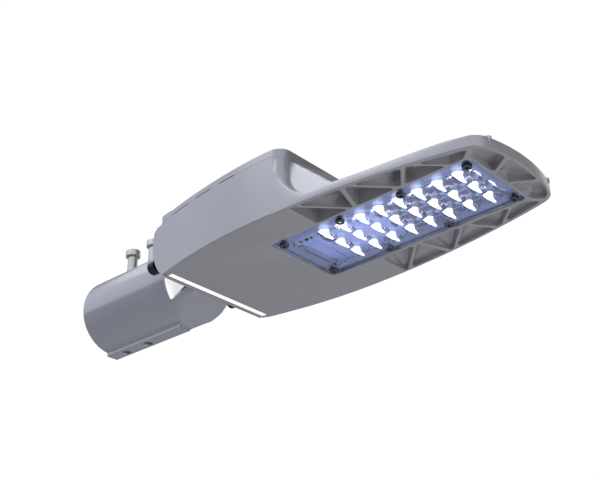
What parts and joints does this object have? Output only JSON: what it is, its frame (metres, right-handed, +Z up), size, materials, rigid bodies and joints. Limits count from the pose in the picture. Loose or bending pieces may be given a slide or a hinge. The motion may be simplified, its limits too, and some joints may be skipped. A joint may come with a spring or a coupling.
{
  "type": "street lamp head",
  "caption": "Tilting street lamp head with a pole spigot, ribbed die-cast housing, hinged driver lid and recessed clear LED lens module.",
  "frame": {"origin": "centre of the pole socket's mouth, on the socket axis", "axes": "+X from the socket to the tip of the head, +Z up, +Y to the left seen from the pole; the light shines towards -Z"},
  "size_m": [0.4777, 0.157, 0.1106],
  "materials": {
    "spigot": "semi-gloss powder coat over die-cast aluminium",
    "clamp_screws": "bare or blackened steel, machined",
    "white_seal": "matte moulded",
    "pins": "bare or blackened steel, machined",
    "housing": "semi-gloss powder coat over die-cast aluminium",
    "lock_screws": "bare or blackened steel, machined",
    "white_strip": "smooth moulded",
    "lens_cover": "clear moulded polycarbonate with a light blue tint",
    "lens_gasket": "matte elastomer",
    "led_board": "bare or white-masked aluminium",
    "led_chips": "phosphor-coated LED packages",
    "lens_screws": "bare or blackened steel, machined",
    "connector": "smooth moulded",
    "lid": "semi-gloss powder coat over die-cast aluminium",
    "gasket": "matte elastomer",
    "lid_screws": "bare or blackened steel, machined",
    "driver_case": "bare or white-masked aluminium",
    "bracket": "bare or blackened steel, machined",
    "surge_case": "smooth moulded",
    "earth_screw": "plain brass",
    "gland": "matte moulded",
    "cable": "matte elastomer",
    "lead": "matte moulded"
  },
  "bodies": {
    "spigot": {"spigot": "spigot", "tilt_hub": "spigot", "cable_seal": "white_seal", "cable_in_spigot": "cable"},
    "clamp_rear": {"clamp_screw_rear": "clamp_screws"},
    "clamp_front": {"clamp_screw_front": "clamp_screws"},
    "head": {"tilt_pins": "pins", "housing": "housing", "rear_strip": "white_strip", "lens_cover": "lens_cover", "lens_gasket": "lens_gasket", "led_board": "led_board", "led_chips": "led_chips", "lens_screws": "lens_screws", "board_connector": "connector", "lid_gasket": "gasket", "lid_hinge_pins": "pins", "lid_screw_inserts": "pins", "driver": "driver_case", "driver_bracket": "bracket", "driver_screws": "pins", "terminal_block": "connector", "surge_protector": "surge_case", "earth_screw": "earth_screw", "cable_gland": "gland", "gland_nut": "gland", "breather_vent": "gland", "cable_in_head": "cable", "led_lead": "lead"},
    "lock_left": {"lock_screw_left": "lock_screws", "lock_nut_left": "lock_screws"},
    "lock_right": {"lock_screw_right": "lock_screws", "lock_nut_right": "lock_screws"},
    "lid": {"lid": "lid"},
    "lid_screw_l": {"lid_screw_left": "lid_screws"},
    "lid_screw_r": {"lid_screw_right": "lid_screws"}
  },
  "joints": [
    {"name": "clamp_rear_screw", "type": "slide", "parent": "spigot", "child": "clamp_rear", "axis": [0, 0, 1], "range_m": [-0.0145, 0.005]},
    {"name": "clamp_front_screw", "type": "slide", "parent": "spigot", "child": "clamp_front", "axis": [0, 0, 1], "range_m": [-0.0145, 0.005]},
    {"name": "head_tilt", "type": "hinge", "parent": "spigot", "child": "head", "pos_m": [0.17, 0, 0.005], "axis": [0, -1, 0], "range_deg": [0, 15]},
    {"name": "lock_left_screw", "type": "slide", "parent": "head", "child": "lock_left", "axis": [-1, 0, 0], "range_m": [0, 0.01]},
    {"name": "lock_right_screw", "type": "slide", "parent": "head", "child": "lock_right", "axis": [-1, 0, 0], "range_m": [0, 0.01]},
    {"name": "lid_hinge", "type": "hinge", "parent": "head", "child": "lid", "pos_m": [0.1418, 0, 0.031], "axis": [0, -1, 0], "range_deg": [0, 90]},
    {"name": "lid_left_screw", "type": "slide", "parent": "lid", "child": "lid_screw_l", "axis": [0, 0, 1], "range_m": [0, 0.005]},
    {"name": "lid_right_screw", "type": "slide", "parent": "lid", "child": "lid_screw_r", "axis": [0, 0, 1], "range_m": [0, 0.005]}
  ]
}
